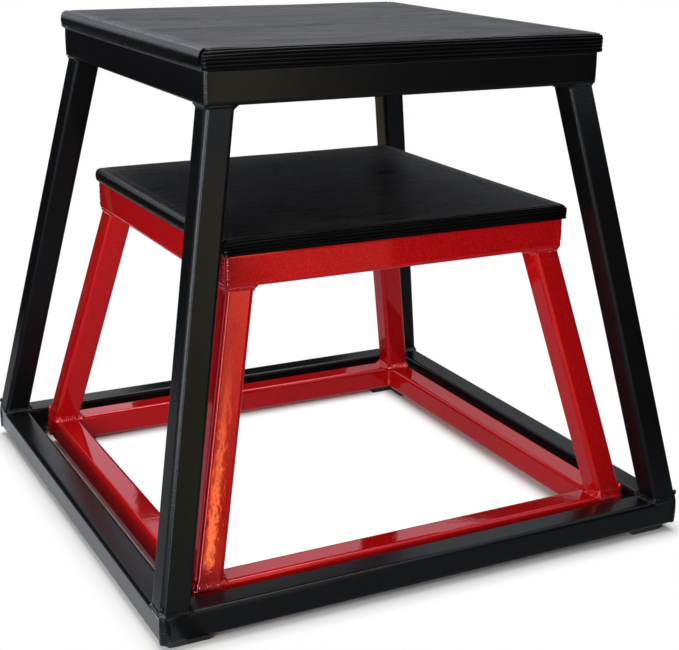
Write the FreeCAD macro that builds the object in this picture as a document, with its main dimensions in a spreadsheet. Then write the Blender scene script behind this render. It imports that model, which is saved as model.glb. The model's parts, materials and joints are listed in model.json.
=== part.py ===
import FreeCAD, Part
import math
import os
import Sketcher

# A nested pair of welded square-tube plyo boxes: a tall box standing over a short one.
# Millimetres, +Z up. The origin is on the floor under the middle of the tall box, and -Y is the front.
# Each box is a base ring and a top ring of four mitred tubes, four legs that lean in to the top,
# a plywood deck wrapped in a rubber tread mat, and four rubber feet under the base ring's corners.

# Driving dimensions, in millimetres. The short box takes its outline from the tall box around it.
SIZES = {
    "tall_height": 457.2,
    "tall_base": 510.0,
    "tall_top": 368.0,
    "tall_board": 12.0,
    "short_height": 304.8,
    "short_board": 9.0,
    "nest_gap": 15.0,
    "leg_clearance": 8.8,
    "short_shift_x": 1.5,
    "short_shift_y": -6.5,
    "tube_side": 25.0,
    "tube_wall": 2.0,
    "tube_corner": 4.0,
    "tube_ground": 2.0,
    "rail_side": 30.0,
    "rail_wall": 2.0,
    "rail_corner": 4.0,
    "rail_ground": 4.0,
    "board_overhang": 1.0,
    "board_corner": 5.0,
    "mat_thickness": 2.5,
    "mat_round": 6.0,
    "mat_notch": 1.0,
    "foot_thickness": 6.35,
    "foot_reach": 39.0,
    "foot_width": 15.0,
    "foot_round": 8.0,
    "foot_bevel": 1.6,
    "hole_clearance": 0.15,
    "deck_screw_spread": 92.0,
    "deck_screw_shank": 5.0,
    "deck_screw_head": 10.0,
    "deck_screw_head_height": 3.2,
    "deck_screw_cover": 2.5,
    "deck_screw_access": 1.0,
    "foot_screw_setback": 9.0,
    "foot_screw_shank": 4.0,
    "foot_screw_head": 8.0,
    "foot_screw_head_height": 2.4,
    "foot_screw_recess": 1.2,
    "foot_screw_bite": 4.0,
}

# The least radius of an inner corner, where a thick wall would leave none.
SMALL_ROUND = 0.5
# How far a cutting shape stands past the face that it cuts.
OVERRUN = 5.0

SIDES = ("front", "right", "back", "left")
CORNERS = {"front_left": (-1, -1), "front_right": (1, -1), "back_right": (1, 1), "back_left": (-1, 1)}

Z_AXIS = FreeCAD.Vector(0, 0, 1)
doc = FreeCAD.newDocument("nested_plyo_boxes")


def make_sheet():
    """The driving dimensions as a sheet, one named cell each."""
    sheet = doc.addObject("Spreadsheet::Sheet", "Sizes")
    for row, (name, value) in enumerate(SIZES.items(), 1):
        sheet.set(f"A{row}", name)
        sheet.set(f"B{row}", str(value))
        sheet.setAlias(f"B{row}", name)
    doc.recompute()


def size(name):
    """The expression that reads one cell of the sheet."""
    return f"Sizes.{name}"


def bind(thing, expressions):
    """Ties each named property of a thing to an expression."""
    for path, expression in expressions.items():
        thing.setExpression(path, expression)


def move(thing, x, y, z):
    """Ties the place of a thing to three expressions."""
    bind(thing, {"Placement.Base.x": x, "Placement.Base.y": y, "Placement.Base.z": z})


def turn(thing, axis, degrees):
    """Turns a thing about an axis through its own origin."""
    thing.Placement = FreeCAD.Placement(FreeCAD.Vector(), FreeCAD.Rotation(axis, degrees))


def new_sketch(body, plane):
    """A sketch on one of the body's own origin planes."""
    sketch = body.newObject("Sketcher::SketchObject", body.Name + "_outline")
    support = [f for f in body.Origin.OriginFeatures if f.Role == plane]
    sketch.AttachmentSupport = [(support[0], "")]
    sketch.MapMode = "FlatFace"
    return sketch


def draw_rounded_square(sketch, name, side, corner):
    """Four lines and four corner arcs about the sketch's origin, with a tied side and corner radius."""
    first = sketch.GeometryCount
    half, radius = 20.0, 2.0
    flat = half - radius
    for k in range(4):
        spin = FreeCAD.Rotation(Z_AXIS, 90 * k)
        start = spin.multVec(FreeCAD.Vector(-flat, -half, 0))
        end = spin.multVec(FreeCAD.Vector(flat, -half, 0))
        middle = spin.multVec(FreeCAD.Vector(flat, -flat, 0))
        circle = Part.Circle(middle, Z_AXIS, radius)
        quarter = math.pi / 2
        sketch.addGeometry(Part.LineSegment(start, end))
        sketch.addGeometry(Part.ArcOfCircle(circle, (k - 1) * quarter, k * quarter))
    lines = [first + 2 * k for k in range(4)]
    arcs = [first + 2 * k + 1 for k in range(4)]
    for k in range(4):
        sketch.addConstraint(Sketcher.Constraint("Tangent", lines[k], 2, arcs[k], 1))
        sketch.addConstraint(Sketcher.Constraint("Tangent", arcs[k], 2, lines[(k + 1) % 4], 1))
        sketch.addConstraint(Sketcher.Constraint(("Horizontal", "Vertical")[k % 2], lines[k]))
    for k in range(1, 4):
        sketch.addConstraint(Sketcher.Constraint("Equal", arcs[0], arcs[k]))
    sketch.addConstraint(Sketcher.Constraint("Equal", lines[0], lines[1]))
    sketch.addConstraint(Sketcher.Constraint("Symmetric", arcs[0], 3, arcs[2], 3, -1, 1))
    for label, expression, constraint in (
        (name + "_side", side, Sketcher.Constraint("DistanceY", lines[0], 1, lines[2], 1, 2 * half)),
        (name + "_corner", corner, Sketcher.Constraint("Radius", arcs[0], radius)),
    ):
        index = sketch.addConstraint(constraint)
        sketch.renameConstraint(index, label)
        sketch.setExpression("Constraints." + label, expression)


def add_pad(body, sketch, length, symmetric=False):
    """The sketch's outline carried straight out, to one side or to both."""
    pad = body.newObject("PartDesign::Pad", body.Name + "_pad")
    pad.Profile = sketch
    pad.SideType = "Symmetric" if symmetric else "One side"
    pad.setExpression("Length", length)
    return pad


def square_block(name, side, corner, height):
    """A square block with rounded upright edges, standing on its own origin."""
    body = doc.addObject("PartDesign::Body", name)
    sketch = new_sketch(body, "XY_Plane")
    draw_rounded_square(sketch, "outline", side, corner)
    add_pad(body, sketch, height)
    return body


def square_tube(name, plane, kind, length):
    """A hollow square tube about its own origin, square to the given plane."""
    body = doc.addObject("PartDesign::Body", name)
    sketch = new_sketch(body, plane)
    side, wall, corner = (size(f"{kind}_{part}") for part in ("side", "wall", "corner"))
    draw_rounded_square(sketch, "outer", side, corner)
    draw_rounded_square(sketch, "inner", f"{side} - 2 * {wall}", f"max({corner} - {wall}; {SMALL_ROUND})")
    add_pad(body, sketch, length, symmetric=True)
    return body


def round_top(body, radius):
    """Rounds the edges of a body's top face."""
    doc.recompute()
    block = body.Tip
    top = max(range(len(block.Shape.Faces)), key=lambda i: block.Shape.Faces[i].CenterOfMass.z)
    fillet = body.newObject("PartDesign::Fillet", body.Name + "_round")
    fillet.Base = (block, [f"Face{top + 1}"])
    fillet.setExpression("Radius", radius)
    body.Tip = fillet


def boolean(kind, name, base, tool):
    """One shape cut by another, or what two shapes share."""
    result = doc.addObject(f"Part::{kind}", name)
    result.Base = base
    result.Tool = tool
    return result


def group(name, members):
    """Separate solids kept together as one piece."""
    result = doc.addObject("Part::Compound", name)
    result.Links = members
    return result


def cylinder(name, diameter, height, x, y, z):
    """An upright round bar with its lower end at a tied place."""
    bar = doc.addObject("Part::Cylinder", name)
    bind(bar, {"Radius": f"({diameter}) / 2", "Height": height})
    move(bar, x, y, z)
    return bar


class PlyoBox:
    """One of the two boxes, with its heights and outlines as expressions of the sheet's cells."""

    def __init__(self, name, height, base, top, board, shift_x, shift_y):
        self.name = name
        self.base = base
        self.top = top
        self.board = board
        self.deck = f"({top} + 2 * {size('board_overhang')})"
        self.x = shift_x
        self.y = shift_y
        self.base_low = size("foot_thickness")
        self.base_high = f"({self.base_low} + {size('tube_side')})"
        self.deck_low = f"({height} - {board} - {size('mat_thickness')})"
        self.rail_low = f"({self.deck_low} - {size('rail_side')})"
        self.leg_rise = f"({self.rail_low} - {self.base_high})"
        self.leg_low = f"(({base} - {size('tube_side')}) / 2)"
        self.leg_high = f"(({top} - {size('rail_side')}) / 2)"
        self.pieces = []

    def keep(self, thing, label):
        """Names a finished piece of this box."""
        thing.Label = f"{self.name}_{label}"
        self.pieces.append(thing)

    def leg_inner(self, height):
        """How far a leg's inner face stands from the middle of the box at a height."""
        lean = f"({self.leg_low} - {self.leg_high}) / {self.leg_rise}"
        return f"({self.leg_low} - {lean} * ({height} - {self.base_high}) - {size('tube_side')} / 2)"

    def ring(self, part, kind, side, low, holes):
        """Four tubes mitred into a ring, with its outer corners ground round, and drilled."""
        stem = f"{self.name}_{part}"
        envelope = square_block(stem + "_envelope", side, size(kind + "_ground"), size(kind + "_side"))
        move(envelope, self.x, self.y, low)
        reach = f"({side} - {size(kind + '_side')}) / 2"
        for k, where in enumerate(SIDES):
            tube = square_tube(f"{stem}_{where}_length", "YZ_Plane", kind, side)
            turn(tube, Z_AXIS, 90 * k)
            across = FreeCAD.Rotation(Z_AXIS, 90 * k).multVec(FreeCAD.Vector(0, -1, 0))
            x = f"{self.x} + {round(across.x)} * {reach}"
            y = f"{self.y} + {round(across.y)} * {reach}"
            move(tube, x, y, f"{low} + {size(kind + '_side')} / 2")
            sector = doc.addObject("Part::Box", f"{stem}_{where}_mitre")
            turn(sector, Z_AXIS, 90 * k - 135)
            bind(sector, {"Length": side, "Width": side, "Height": size(kind + "_side")})
            move(sector, self.x, self.y, low)
            rounded = boolean("Common", f"{stem}_{where}_rounded", tube, envelope)
            mitred = boolean("Common", f"{stem}_{where}_mitred", rounded, sector)
            self.keep(boolean("Cut", f"{stem}_{where}_drilled", mitred, holes), f"{part}_{where}")

    def legs(self):
        """Four tubes that lean in to the top, cut level at the base ring and under the top ring."""
        slab = doc.addObject("Part::Box", self.name + "_leg_slab")
        bind(slab, {"Length": self.base, "Width": self.base, "Height": self.leg_rise})
        move(slab, f"{self.x} - {self.base} / 2", f"{self.y} - {self.base} / 2", self.base_high)
        tilt = f"atan(sqrt(2) * ({self.leg_low} - {self.leg_high}) / {self.leg_rise})"
        length = f"{self.leg_rise} / cos({tilt}) + 2 * {size('tube_side')}"
        reach = f"({self.leg_low} + {self.leg_high}) / 2"
        for corner, (sx, sy) in CORNERS.items():
            tube = square_tube(f"{self.name}_leg_{corner}_length", "XY_Plane", "tube", length)
            turn(tube, FreeCAD.Vector(sy, -sx, 0), 10)
            tube.setExpression("Placement.Rotation.Angle", tilt)
            middle = f"{self.base_high} + {self.leg_rise} / 2"
            move(tube, f"{self.x} + {sx} * {reach}", f"{self.y} + {sy} * {reach}", middle)
            self.keep(boolean("Common", f"{self.name}_leg_{corner}_cut", tube, slab), f"leg_{corner}")

    def wrapped_deck(self, holes):
        """The plywood board, a little proud of the top ring, and the mat that wraps its top and edges."""
        board = square_block(self.name + "_board", self.deck, size("board_corner"), self.board)
        round_top(board, f"max({size('mat_round')} - {size('mat_thickness')}; {SMALL_ROUND})")
        move(board, self.x, self.y, self.deck_low)
        outline = f"{self.deck} + 2 * {size('mat_thickness')}"
        corner = f"({size('board_corner')} + {size('mat_thickness')})"
        thickness = f"{self.board} + {size('mat_thickness')}"
        cap = square_block(self.name + "_mat", outline, corner, thickness)
        round_top(cap, f"min({size('mat_round')}; {corner} - {SMALL_ROUND})")
        move(cap, self.x, self.y, self.deck_low)
        corner_notches = [self.mat_notch(name, *signs) for name, signs in CORNERS.items()]
        notches = group(self.name + "_notches", corner_notches)
        wrapped = boolean("Cut", self.name + "_mat_wrapped", cap, board)
        notched = boolean("Cut", self.name + "_mat_notched", wrapped, notches)
        self.keep(boolean("Cut", self.name + "_board_drilled", board, holes), "deck_board")
        self.keep(notched, "tread_mat")

    def mat_notch(self, corner, sx, sy):
        """The square taken out of the mat's corner below its top sheet, so that the edges fold down."""
        block = doc.addObject("Part::Box", f"{self.name}_notch_{corner}")
        across = f"({size('mat_thickness')} + {size('mat_notch')} + {OVERRUN})"
        bind(block, {"Length": across, "Width": across, "Height": f"{self.board} + {OVERRUN}"})
        reach = f"({self.deck} / 2 - {size('mat_notch')})"
        x = reach if sx > 0 else f"(-{reach} - {across})"
        y = reach if sy > 0 else f"(-{reach} - {across})"
        move(block, f"{self.x} + {x}", f"{self.y} + {y}", f"{self.deck_low} - {OVERRUN}")
        return block

    def deck_screws(self):
        """Screws up into the board, two in each tube of the top ring, with their heads inside the tube under its
        upper wall, and the holes for them: a bore for each shank, and in the lower wall a wider one to drive it by."""
        reach = f"({self.top} - {size('rail_side')}) / 2"
        wall, clearance = size("rail_wall"), size("hole_clearance")
        head, head_height = size("deck_screw_head"), size("deck_screw_head_height")
        seat = f"({self.deck_low} - {wall})"
        length = f"({wall} + {self.board} - {size('deck_screw_cover')})"
        spread = size("deck_screw_spread")
        screws, holes = [], []
        for k, where in enumerate(SIDES):
            out = FreeCAD.Rotation(Z_AXIS, 90 * k).multVec(FreeCAD.Vector(0, -1, 0))
            along = FreeCAD.Rotation(Z_AXIS, 90 * k).multVec(FreeCAD.Vector(1, 0, 0))
            for sign in (-1, 1):
                stem = f"{self.name}_deck_screw_{where}_{'b' if sign > 0 else 'a'}"
                x = f"{self.x} + {round(out.x)} * {reach} + {sign * round(along.x)} * {spread}"
                y = f"{self.y} + {round(out.y)} * {reach} + {sign * round(along.y)} * {spread}"
                cap = cylinder(stem + "_head", head, head_height, x, y, f"{seat} - {head_height}")
                shank = cylinder(stem + "_shank", size("deck_screw_shank"), length, x, y, seat)
                screws.append(boolean("Fuse", stem, cap, shank))
                bore = f"{size('deck_screw_shank')} + 2 * {clearance}"
                bore_length = f"{wall} + {length} + {clearance}"
                holes.append(cylinder(stem + "_bore", bore, bore_length, x, y, f"{seat} - {wall}"))
                access = f"{head} + 2 * {size('deck_screw_access')}"
                below = f"{self.rail_low} - {OVERRUN}"
                holes.append(cylinder(stem + "_access", access, f"2 * {wall} + {OVERRUN}", x, y, below))
        self.keep(group(self.name + "_deck_screw_group", screws), "deck_screws")
        return group(self.name + "_deck_holes", holes)

    def foot_screws(self):
        """Screws up through the feet into the base ring, two in each foot, and the holes for them."""
        edge = f"({self.base} / 2 - {size('tube_side')} / 2)"
        inset = f"({size('tube_side')} - {size('foot_width')}) / 2"
        away = f"({self.base} / 2 - {inset} - {size('foot_reach')} + {size('foot_screw_setback')})"
        recess, head_height = size("foot_screw_recess"), size("foot_screw_head_height")
        seat = f"({recess} + {head_height})"
        below = f"-{OVERRUN}"
        length = f"{self.base_low} - {seat} + {size('tube_wall')} + {size('foot_screw_bite')}"
        screws, holes, recesses = [], [], []
        for corner, (sx, sy) in CORNERS.items():
            for name, far_x, far_y in (("a", away, edge), ("b", edge, away)):
                stem = f"{self.name}_foot_screw_{corner}_{name}"
                x = f"{self.x} + {sx} * {far_x}"
                y = f"{self.y} + {sy} * {far_y}"
                head = cylinder(stem + "_head", size("foot_screw_head"), head_height, x, y, recess)
                shank = cylinder(stem + "_shank", size("foot_screw_shank"), length, x, y, seat)
                screws.append(boolean("Fuse", stem, head, shank))
                bore = f"{size('foot_screw_shank')} + 2 * {size('hole_clearance')}"
                hole_length = f"{length} + {seat} + {OVERRUN}"
                holes.append(cylinder(stem + "_hole", bore, hole_length, x, y, below))
                wide = f"{size('foot_screw_head')} + 2 * {size('hole_clearance')}"
                recesses.append(cylinder(stem + "_recess", wide, f"{seat} + {OVERRUN}", x, y, below))
        self.keep(group(self.name + "_foot_screw_group", screws), "foot_screws")
        return group(self.name + "_foot_holes", holes), group(self.name + "_foot_recesses", recesses)

    def feet(self, holes, recesses):
        """Four angle-shaped rubber feet under the corners of the base ring, with a bevelled sole."""
        inset = f"({size('tube_side')} - {size('foot_width')}) / 2"
        reach = f"({self.base} / 2 - {inset})"
        for k, (corner, (sx, sy)) in enumerate(CORNERS.items()):
            foot = angle_pad(f"{self.name}_foot_{corner}_pad")
            turn(foot, Z_AXIS, 90 * k)
            move(foot, f"{self.x} + {sx} * {reach}", f"{self.y} + {sy} * {reach}", "0")
            drilled = boolean("Cut", f"{self.name}_foot_{corner}_drilled", foot, holes)
            sunk = boolean("Cut", f"{self.name}_foot_{corner}_sunk", drilled, recesses)
            self.keep(sunk, f"foot_{corner}")

    def build(self):
        """Every piece of the box, from the floor up."""
        foot_holes, foot_recesses = self.foot_screws()
        deck_holes = self.deck_screws()
        self.feet(foot_holes, foot_recesses)
        self.ring("base_tube", "tube", self.base, self.base_low, foot_holes)
        self.legs()
        self.ring("top_rail", "rail", self.top, self.rail_low, deck_holes)
        self.wrapped_deck(deck_holes)


def angle_pad(name):
    """An angle of two equal arms with its outer corner at its own origin."""
    body = doc.addObject("PartDesign::Body", name)
    sketch = new_sketch(body, "XY_Plane")
    arm, width = 40.0, 20.0
    points = [(0, 0), (arm, 0), (arm, width), (width, width), (width, arm), (0, arm)]
    for k, (x, y) in enumerate(points):
        end = points[(k + 1) % len(points)]
        sketch.addGeometry(Part.LineSegment(FreeCAD.Vector(x, y, 0), FreeCAD.Vector(*end, 0)))
    for k in range(len(points)):
        sketch.addConstraint(Sketcher.Constraint("Coincident", k, 2, (k + 1) % len(points), 1))
        sketch.addConstraint(Sketcher.Constraint(("Horizontal", "Vertical")[k % 2], k))
    sketch.addConstraint(Sketcher.Constraint("Coincident", 0, 1, -1, 1))
    for line, length, cell in (
        (0, arm, "foot_reach"),
        (1, width, "foot_width"),
        (4, width, "foot_width"),
        (5, arm, "foot_reach"),
    ):
        index = sketch.addConstraint(Sketcher.Constraint("Distance", line, length))
        label = f"{cell}_{line}"
        sketch.renameConstraint(index, label)
        sketch.setExpression("Constraints." + label, size(cell))
    pad = add_pad(body, sketch, size("foot_thickness"))
    doc.recompute()
    middles = [edge.CenterOfMass for edge in pad.Shape.Edges]
    upright = min(range(len(middles)), key=lambda i: math.hypot(middles[i].x, middles[i].y))
    fillet = body.newObject("PartDesign::Fillet", name + "_round")
    fillet.Base = (pad, [f"Edge{upright + 1}"])
    fillet.setExpression("Radius", size("foot_round"))
    doc.recompute()
    sole = min(range(len(fillet.Shape.Faces)), key=lambda i: fillet.Shape.Faces[i].CenterOfMass.z)
    bevel = body.newObject("PartDesign::Chamfer", name + "_bevel")
    bevel.Base = (fillet, [f"Face{sole + 1}"])
    bevel.setExpression("Size", size("foot_bevel"))
    body.Tip = bevel
    return body


def check(pieces):
    """Stops if any object failed, or if a piece has no sound shape."""
    failed = [o.Name for o in doc.Objects if "Invalid" in o.State or "Error" in o.State]
    if failed:
        raise RuntimeError("failed objects: " + ", ".join(failed))
    for piece in pieces:
        if piece.Shape.isNull() or not piece.Shape.isValid() or not piece.Shape.Solids:
            raise RuntimeError("unsound piece: " + piece.Label)


def main():
    make_sheet()
    tall_sizes = (size("tall_" + part) for part in ("height", "base", "top", "board"))
    tall = PlyoBox("tall", *tall_sizes, "0", "0")
    short_base = f"({size('tall_base')} - 2 * ({size('tube_side')} + {size('nest_gap')}))"
    leg_inner = tall.leg_inner(size("short_height"))
    wrap = f"({size('board_overhang')} + {size('mat_thickness')})"
    short_top = f"(2 * ({leg_inner} - {size('leg_clearance')} - {wrap}))"
    shift = (size("short_shift_x"), size("short_shift_y"))
    short = PlyoBox("short", size("short_height"), short_base, short_top, size("short_board"), *shift)
    for box in (tall, short):
        box.build()
    doc.recompute()
    pieces = tall.pieces + short.pieces
    check(pieces)
    os.makedirs("parts", exist_ok=True)
    for piece in pieces:
        piece.Shape.exportStep(f"parts/{piece.Label}.step")
        print(piece.Label, len(piece.Shape.Solids), round(piece.Shape.Volume))


main()
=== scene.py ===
# %% [markdown]
# A nesting pair of plyo boxes: a tall black box stands over a short red one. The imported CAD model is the
# fixed frame, in metres, with the origin on the floor under the middle of the tall box and the front along
# -Y. Everything below is either a finish for a CAD piece or a surface that stands where the frame says.

# %% Load the frame
import json
import math

import bmesh
import bpy
import numpy as np
from mathutils import Matrix, Vector


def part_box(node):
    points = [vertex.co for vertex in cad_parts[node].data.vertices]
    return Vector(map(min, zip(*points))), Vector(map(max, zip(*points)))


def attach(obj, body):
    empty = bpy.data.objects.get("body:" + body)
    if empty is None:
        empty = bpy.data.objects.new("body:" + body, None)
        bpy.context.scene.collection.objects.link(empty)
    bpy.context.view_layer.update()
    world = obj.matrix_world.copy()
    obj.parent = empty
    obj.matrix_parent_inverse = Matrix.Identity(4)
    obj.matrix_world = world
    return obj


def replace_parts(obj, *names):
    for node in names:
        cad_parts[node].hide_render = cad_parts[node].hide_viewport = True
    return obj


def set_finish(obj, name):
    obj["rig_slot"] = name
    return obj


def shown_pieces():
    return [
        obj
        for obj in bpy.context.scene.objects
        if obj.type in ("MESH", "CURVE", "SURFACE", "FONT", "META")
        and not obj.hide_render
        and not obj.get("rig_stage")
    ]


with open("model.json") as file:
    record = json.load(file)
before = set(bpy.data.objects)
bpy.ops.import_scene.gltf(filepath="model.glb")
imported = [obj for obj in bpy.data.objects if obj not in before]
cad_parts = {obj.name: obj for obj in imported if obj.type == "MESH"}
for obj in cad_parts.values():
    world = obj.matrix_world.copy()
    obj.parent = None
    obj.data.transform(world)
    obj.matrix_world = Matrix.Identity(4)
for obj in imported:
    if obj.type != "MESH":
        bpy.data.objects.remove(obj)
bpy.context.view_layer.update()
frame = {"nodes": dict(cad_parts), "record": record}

MM = 0.001
BOXES = ("tall", "short")

# %% [markdown]
# The camera stands where a pinhole camera fitted to the edges in the photograph stands. Its place and angles
# could be set by eye, but every other judgement leans on it, so they come from the fit. The focal length is
# in pixels of the photograph's width, which the lens turns into millimetres of film.

# %% Camera
FRAME_WIDTH = 679
FOCAL_PIXELS = 1354.7
CAMERA_PLACE = Vector((-0.5622, -1.1426, 0.5673))
CAMERA_YAW = math.radians(27.36)
CAMERA_PITCH = math.radians(17.60)
CAMERA_ROLL = math.radians(-0.75)


def add_camera():
    """A camera that looks yaw to the right of +Y and pitch below the horizon, rolled about its own axis."""
    data = bpy.data.cameras.new("camera")
    data.sensor_fit = "HORIZONTAL"
    data.lens = data.sensor_width * FOCAL_PIXELS / FRAME_WIDTH
    level = math.cos(CAMERA_PITCH)
    forward = Vector((math.sin(CAMERA_YAW) * level, math.cos(CAMERA_YAW) * level, -math.sin(CAMERA_PITCH)))
    right = Vector((math.cos(CAMERA_YAW), -math.sin(CAMERA_YAW), 0.0))
    down = forward.cross(right)
    turned_right = math.cos(CAMERA_ROLL) * right + math.sin(CAMERA_ROLL) * down
    turned_down = math.cos(CAMERA_ROLL) * down - math.sin(CAMERA_ROLL) * right
    camera = bpy.data.objects.new("camera", data)
    bpy.context.scene.collection.objects.link(camera)
    turn = Matrix((turned_right, -turned_down, -forward)).transposed()
    camera.matrix_world = Matrix.Translation(CAMERA_PLACE) @ turn.to_4x4()
    bpy.context.scene.camera = camera
    print("camera lens", round(data.lens, 2), "mm")


add_camera()

# %% [markdown]
# The set and the finishes are all made of shader nodes. These helpers keep the rest short: they make and
# join nodes, do a sum, spread a number between two others or measure how far it has gone, and mix colours
# and shaders.

# %% Node helpers
def new_node(tree, kind, **values):
    """A shader node of a kind, with plain values in its named sockets."""
    node = tree.nodes.new(f"ShaderNode{kind}")
    for label, value in values.items():
        node.inputs[label.replace("_", " ").title()].default_value = value
    return node


def link(tree, source, output, target, socket):
    """Joins a named or numbered output of one node to a named or numbered input of another."""
    tree.links.new(source.outputs[output], target.inputs[socket])


def math_node(tree, operation, *sources, second=0.5):
    """A node that does one sum with one or two outputs, each given as its node and its name or number. A
    plain second number stands where there is only one."""
    node = new_node(tree, "Math")
    node.operation = operation
    node.inputs[1].default_value = second
    for k, (source, output) in enumerate(sources):
        link(tree, source, output, node, k)
    return node


def ranged(tree, source, output, low, high):
    """A number from 0 to 1 spread between two others."""
    node = new_node(tree, "MapRange", to_min=low, to_max=high)
    link(tree, source, output, node, "Value")
    return node


def how_far(tree, source, output, start, end, curve="LINEAR"):
    """How far a number has gone from a start to an end, from 0 to 1."""
    node = new_node(tree, "MapRange", from_min=start, from_max=end)
    node.interpolation_type = curve
    link(tree, source, output, node, "Value")
    return node


def colour_sockets(sockets):
    """The colour sockets among a node's inputs or outputs."""
    return [socket for socket in sockets if socket.type == "RGBA"]


def mixed(tree, source, output, first, second):
    """The output of a colour between two others, by a number from 0 to 1. Each is red, green and blue, or
    another output."""
    node = new_node(tree, "Mix")
    node.data_type = "RGBA"
    for socket, colour in zip(colour_sockets(node.inputs), (first, second)):
        if isinstance(colour, tuple):
            socket.default_value = (*colour, 1.0)
        else:
            tree.links.new(colour, socket)
    link(tree, source, output, node, 0)
    return colour_sockets(node.outputs)[0]


def shader_mix(tree, source, output, first, second):
    """A shader between two others, by a number from 0 to 1."""
    node = new_node(tree, "MixShader")
    link(tree, source, output, node, 0)
    link(tree, first, 0, node, 1)
    link(tree, second, 0, node, 2)
    return node


def bare_material(name):
    """A material without nodes, and its tree."""
    material = bpy.data.materials.new(name)
    material.use_nodes = True
    material.node_tree.nodes.clear()
    return material, material.node_tree


# %% [markdown]
# The set is a white sweep: a pale floor that keeps the shadow at the foot of the frames, and a world that is
# white to the camera, a slightly cool white in reflections, and only lights the object softly. The floor
# fades to that white away from the base rings, inwards as well as outwards, so no edge of it shows. From
# below it is clear, so the underside can be looked at.

# %% Floor and world
AMBIENT = 0.14
FLOOR_SIDE = 12.0
FLOOR_COLOUR = (0.88, 0.88, 0.88)
RING_MIDDLE = 0.226
FADE_FROM, FADE_TO = 0.026, 0.052
WHITE = (1.0, 1.0, 1.0)
COOL_WHITE = (0.90, 0.95, 1.06)


def seen_directly(tree):
    """One where a ray comes from the camera, a gloss or a clear surface, and zero where it is soft light."""
    path = new_node(tree, "LightPath")
    shiny = math_node(tree, "MAXIMUM", (path, "Is Glossy Ray"), (path, "Is Transmission Ray"))
    return math_node(tree, "MAXIMUM", (path, "Is Camera Ray"), (shiny, 0))


def backdrop_white(tree):
    """White where the camera looks, and the cool white where a gloss does."""
    return mixed(tree, new_node(tree, "LightPath"), "Is Glossy Ray", WHITE, COOL_WHITE)


def make_world():
    """A white world for what is seen, and a dimmer one for the light that it sheds."""
    world = bpy.data.worlds.new("white_sweep")
    world.use_nodes = True
    tree = world.node_tree
    tree.nodes.clear()
    shed = new_node(tree, "Background", color=(*WHITE, 1.0), strength=AMBIENT)
    shown = new_node(tree, "Background")
    tree.links.new(backdrop_white(tree), shown.inputs["Color"])
    both = shader_mix(tree, seen_directly(tree), 0, shed, shown)
    link(tree, both, 0, new_node(tree, "OutputWorld"), 0)
    bpy.context.scene.world = world


def make_floor():
    """A pale square that turns to plain white with the distance from the square under the base rings."""
    half = FLOOR_SIDE / 2
    corners = [(-half, -half, 0), (half, -half, 0), (half, half, 0), (-half, half, 0)]
    mesh = bpy.data.meshes.new("floor")
    mesh.from_pydata(corners, [], [(0, 1, 2, 3)])
    material, tree = bare_material("pale_floor")
    size = new_node(tree, "VectorMath")
    size.operation = "ABSOLUTE"
    parts = new_node(tree, "SeparateXYZ")
    link(tree, new_node(tree, "TexCoord"), "Object", size, 0)
    link(tree, size, 0, parts, 0)
    square = math_node(tree, "MAXIMUM", (parts, "X"), (parts, "Y"))
    apart = math_node(tree, "SUBTRACT", (square, 0), second=RING_MIDDLE)
    away = math_node(tree, "ABSOLUTE", (apart, 0))
    fade = how_far(tree, away, 0, FADE_FROM, FADE_TO, "SMOOTHSTEP")
    share = math_node(tree, "MULTIPLY", (fade, 0), (seen_directly(tree), 0))
    lit = new_node(tree, "BsdfDiffuse", color=(*FLOOR_COLOUR, 1.0))
    glow = new_node(tree, "Emission")
    tree.links.new(backdrop_white(tree), glow.inputs["Color"])
    above = shader_mix(tree, share, 0, lit, glow)
    clear = new_node(tree, "BsdfTransparent")
    both = shader_mix(tree, new_node(tree, "NewGeometry"), "Backfacing", above, clear)
    link(tree, both, 0, new_node(tree, "OutputMaterial"), 0)
    mesh.materials.append(material)
    floor = bpy.data.objects.new("floor", mesh)
    bpy.context.scene.collection.objects.link(floor)
    floor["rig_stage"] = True


make_world()
make_floor()
bpy.context.scene.view_settings.view_transform = "Standard"
print("floor and world made")

# %% [markdown]
# Two soft boxes light the set. A wide one overhead lights the upper sides of the tubes. A small one, in front
# on the left, lights the two sides that the camera sees and runs a bright line down the tubes' rounded edges.
# It stands close, so its light falls off towards the back. Both are aimed at the middle of the object.

# %% Lamps
AIM = Vector((0.0, 0.0, 0.2))
SOFT_BOXES = {
    "overhead": {"place": (0.1, 0.4, 2.3), "side": 2.2, "watts": 60.0, "colour": (1.0, 1.0, 1.0)},
    "front_left": {"place": (-0.95, -0.85, 0.56), "side": 0.7, "watts": 12.5, "colour": (1.0, 0.98, 0.96)},
}


def add_soft_box(name, place, side, watts, colour):
    """A square area lamp at a place, turned to face the aim."""
    data = bpy.data.lights.new(name, "AREA")
    data.shape = "SQUARE"
    data.size = side
    data.energy = watts
    data.color = colour
    lamp = bpy.data.objects.new(name, data)
    lamp.location = place
    lamp.rotation_euler = (AIM - lamp.location).to_track_quat("-Z", "Y").to_euler()
    lamp.visible_camera = False
    bpy.context.scene.collection.objects.link(lamp)


for name, values in SOFT_BOXES.items():
    add_soft_box(name, **values)
print("lamps", list(SOFT_BOXES))

# %% [markdown]
# Black paint on a white set turns grey, because every face mirrors the white. A photographer stands black
# flags just out of the picture, dull cloths on the floor, warm cards where a face should glow, and a bright
# strip that draws a line down each rounded edge. Here all of them show in reflections only: they hide no lamp
# and cast no shadow. The flags are low, so the treads still mirror the white beyond them, and they leave a
# gap towards the camera for the strip. A pale one at the back right lightens the tops of the base tubes.
#
# Each flag has a radius, its two ends in degrees, a height, and its colours at the foot and at the top. Each
# cloth has its reach along X and its colour. Each card has its reach along X at the foot and at the top, its
# distance, its height, and its two colours. The hot card leans, so that its reflection follows a leg.

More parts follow.
